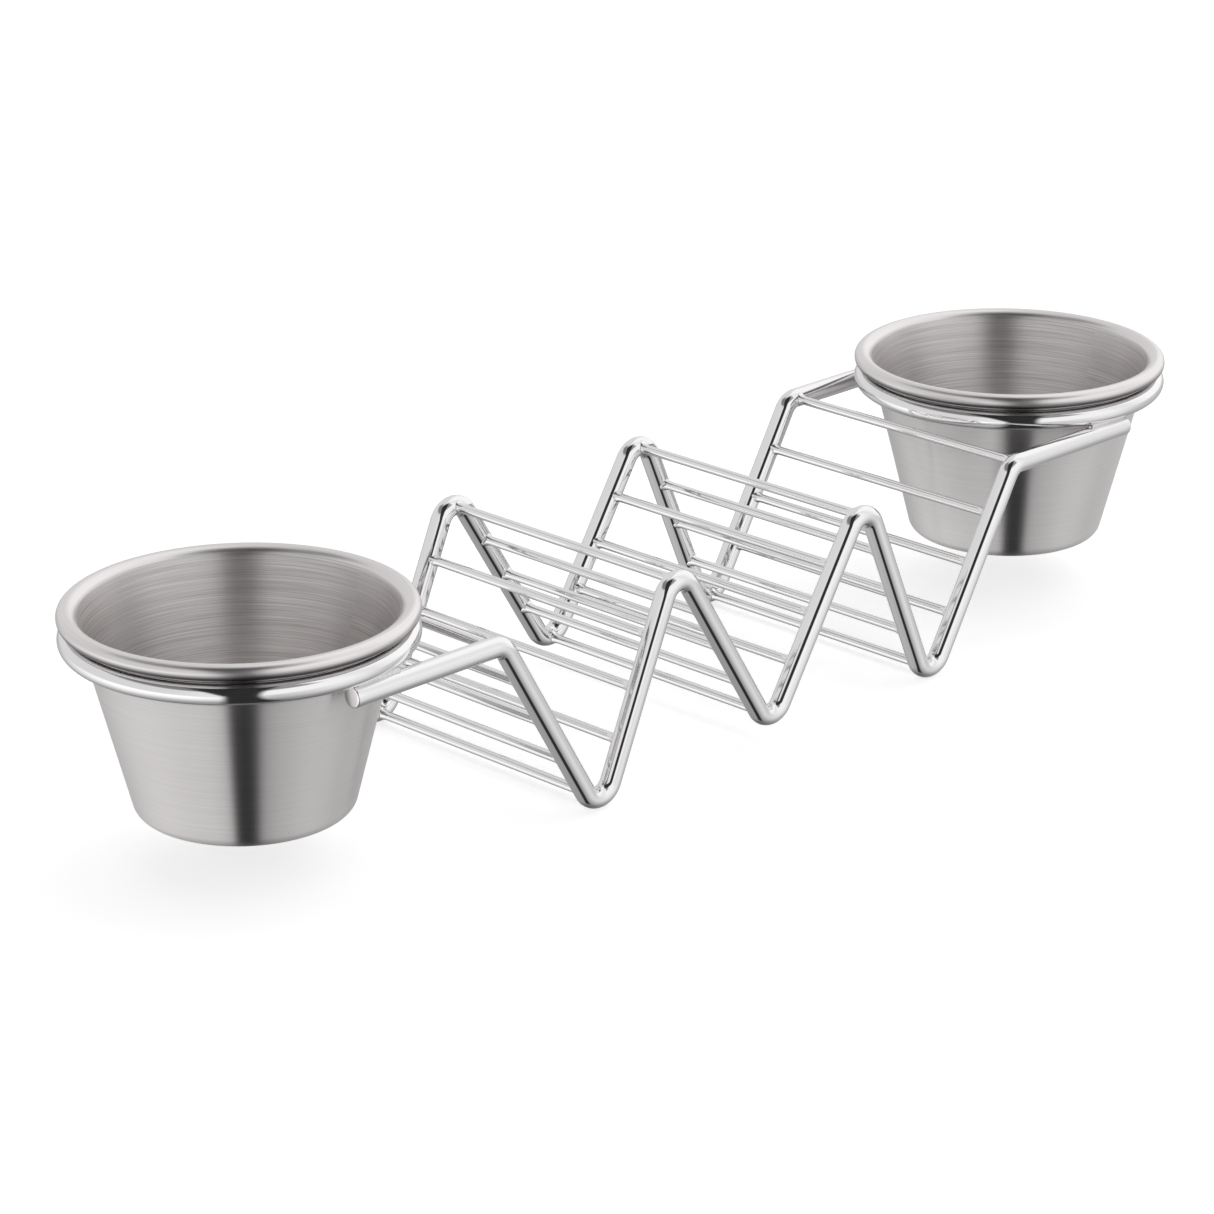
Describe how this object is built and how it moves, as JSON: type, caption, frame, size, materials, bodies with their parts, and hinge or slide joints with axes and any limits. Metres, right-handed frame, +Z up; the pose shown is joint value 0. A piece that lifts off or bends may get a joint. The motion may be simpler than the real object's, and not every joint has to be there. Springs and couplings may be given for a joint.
{
  "type": "taco holder",
  "caption": "Low wire rack bent into V shaped slots for tacos, with a round steel sauce cup hanging in a ring at each end.",
  "frame": {"origin": "middle of the footprint, on the surface that the rack stands on", "axes": "+X along the rack from the left cup to the right cup, +Y from the front rail to the back rail, +Z up"},
  "size_m": [0.333, 0.078, 0.0584],
  "materials": {
    "frame_wire": "polished stainless steel wire",
    "cross_wire": "polished stainless steel wire",
    "cup_sheet": "spun and brushed stainless steel sheet"
  },
  "bodies": {
    "root": {"back_rail": "frame_wire", "front_rail": "frame_wire", "left_ring": "frame_wire", "left_sauce_cup": "cup_sheet", "leg_1_wire_1": "cross_wire", "leg_1_wire_2": "cross_wire", "leg_1_wire_3": "cross_wire", "leg_2_wire_1": "cross_wire", "leg_2_wire_2": "cross_wire", "leg_2_wire_3": "cross_wire", "leg_3_wire_1": "cross_wire", "leg_3_wire_2": "cross_wire", "leg_3_wire_3": "cross_wire", "leg_4_wire_1": "cross_wire", "leg_4_wire_2": "cross_wire", "leg_4_wire_3": "cross_wire", "leg_5_wire_1": "cross_wire", "leg_5_wire_2": "cross_wire", "leg_5_wire_3": "cross_wire", "leg_6_wire_1": "cross_wire", "leg_6_wire_2": "cross_wire", "leg_6_wire_3": "cross_wire", "peak_wire_1": "cross_wire", "peak_wire_2": "cross_wire", "peak_wire_3": "cross_wire", "peak_wire_4": "cross_wire", "right_ring": "frame_wire", "right_sauce_cup": "cup_sheet", "valley_wire_1": "cross_wire", "valley_wire_2": "cross_wire", "valley_wire_3": "cross_wire"}
  },
  "joints": []
}
